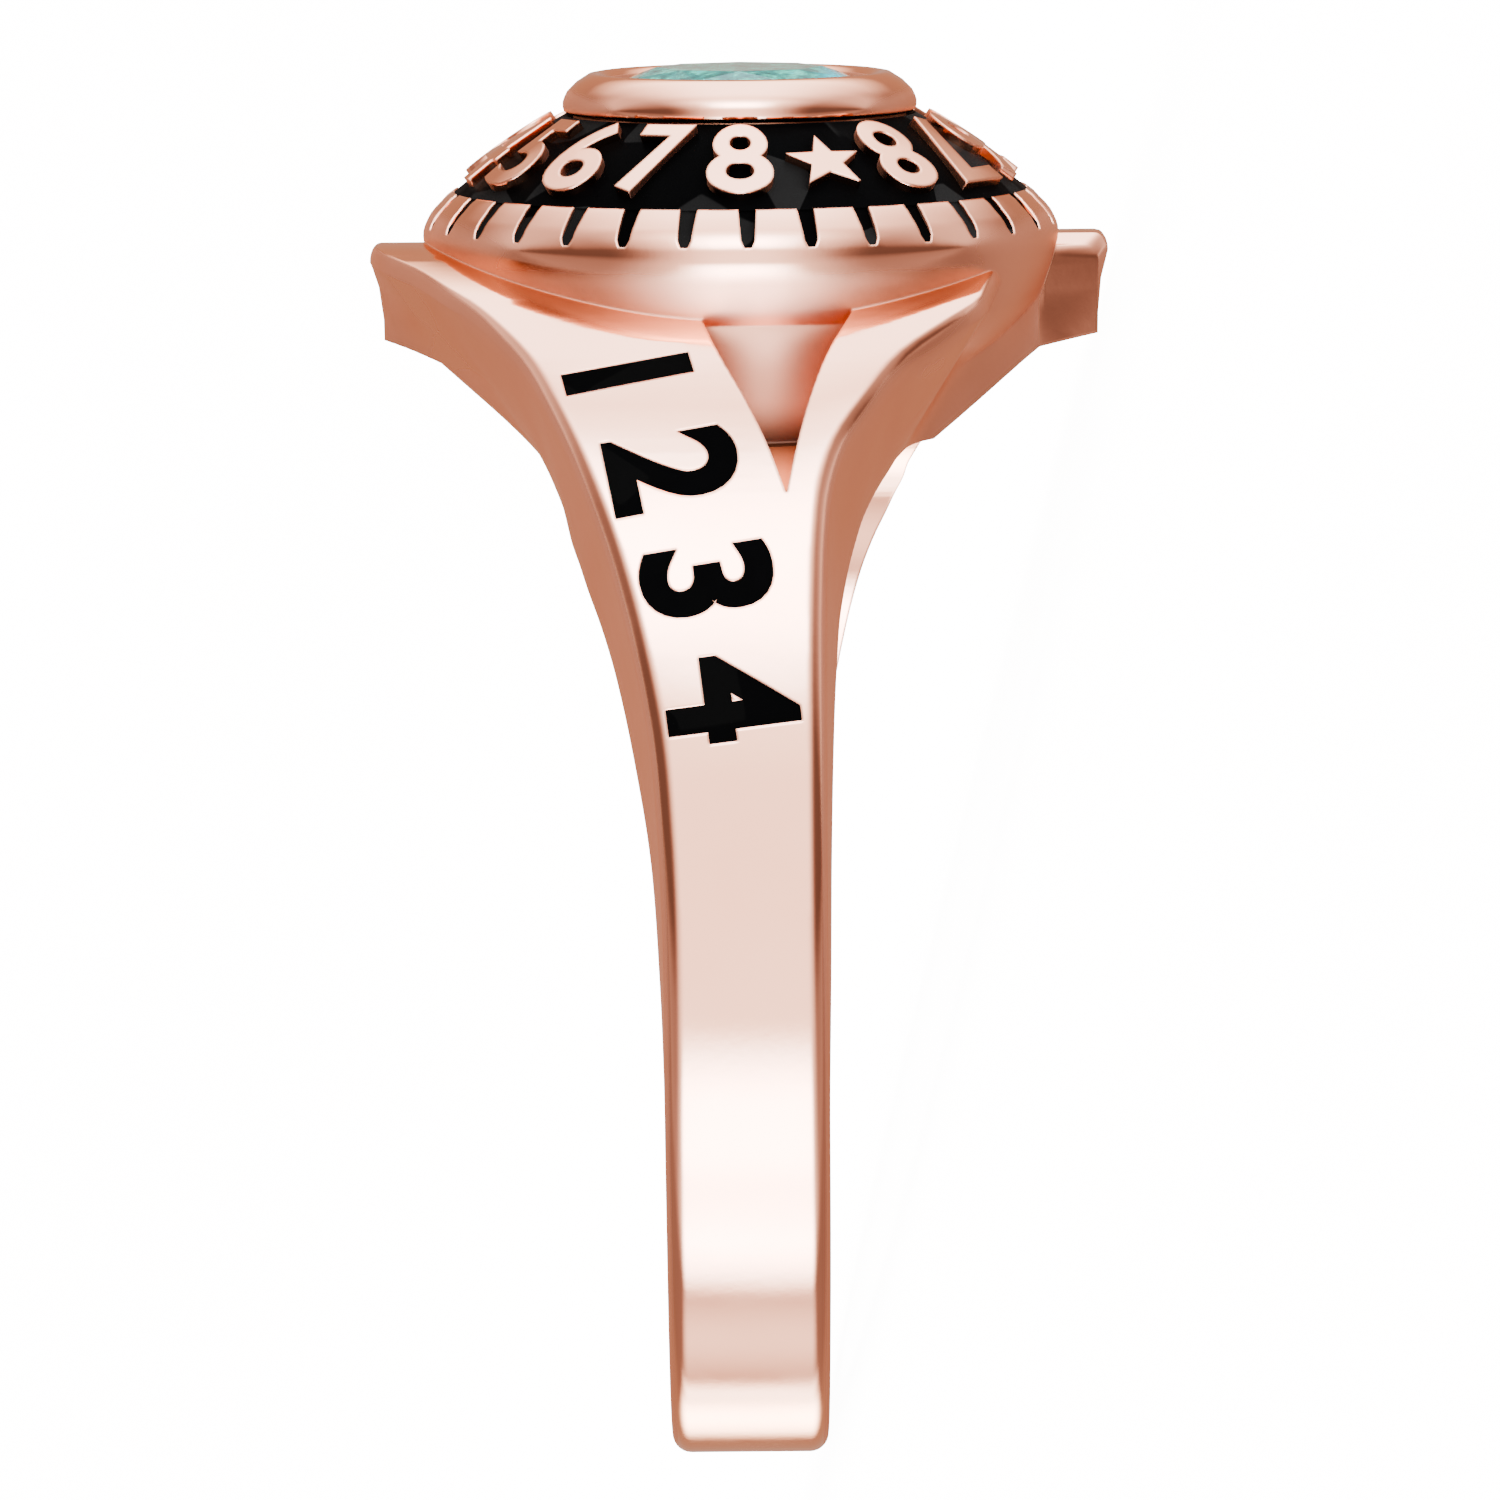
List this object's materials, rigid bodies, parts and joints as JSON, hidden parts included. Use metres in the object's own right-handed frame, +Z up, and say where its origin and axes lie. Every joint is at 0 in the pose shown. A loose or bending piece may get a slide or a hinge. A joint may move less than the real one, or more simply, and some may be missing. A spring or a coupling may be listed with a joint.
{
  "type": "class ring",
  "caption": "Rose-gold class ring with bypass shoulders, a bezel-set teal stone, a black collar with raised numerals and a notched rim, lying on its side.",
  "frame": {"origin": "on the surface that the ring lies on, under the middle of its box", "axes": "+Z up from that surface, close to the finger axis; +X from the foot of the shank towards the stone; -Y the side that the picture shows"},
  "size_m": [0.0254, 0.0206, 0.0132],
  "materials": {
    "rose_gold": "polished rose gold",
    "black_enamel": "glossy black enamel",
    "teal_stone": "faceted and polished"
  },
  "bodies": {
    "root": {"ring_body": "rose_gold", "stone": "teal_stone", "collar_enamel": "black_enamel", "shoulder_enamel_1": "black_enamel", "shoulder_enamel_2": "black_enamel", "shoulder_enamel_3": "black_enamel", "shoulder_enamel_4": "black_enamel"}
  },
  "joints": []
}
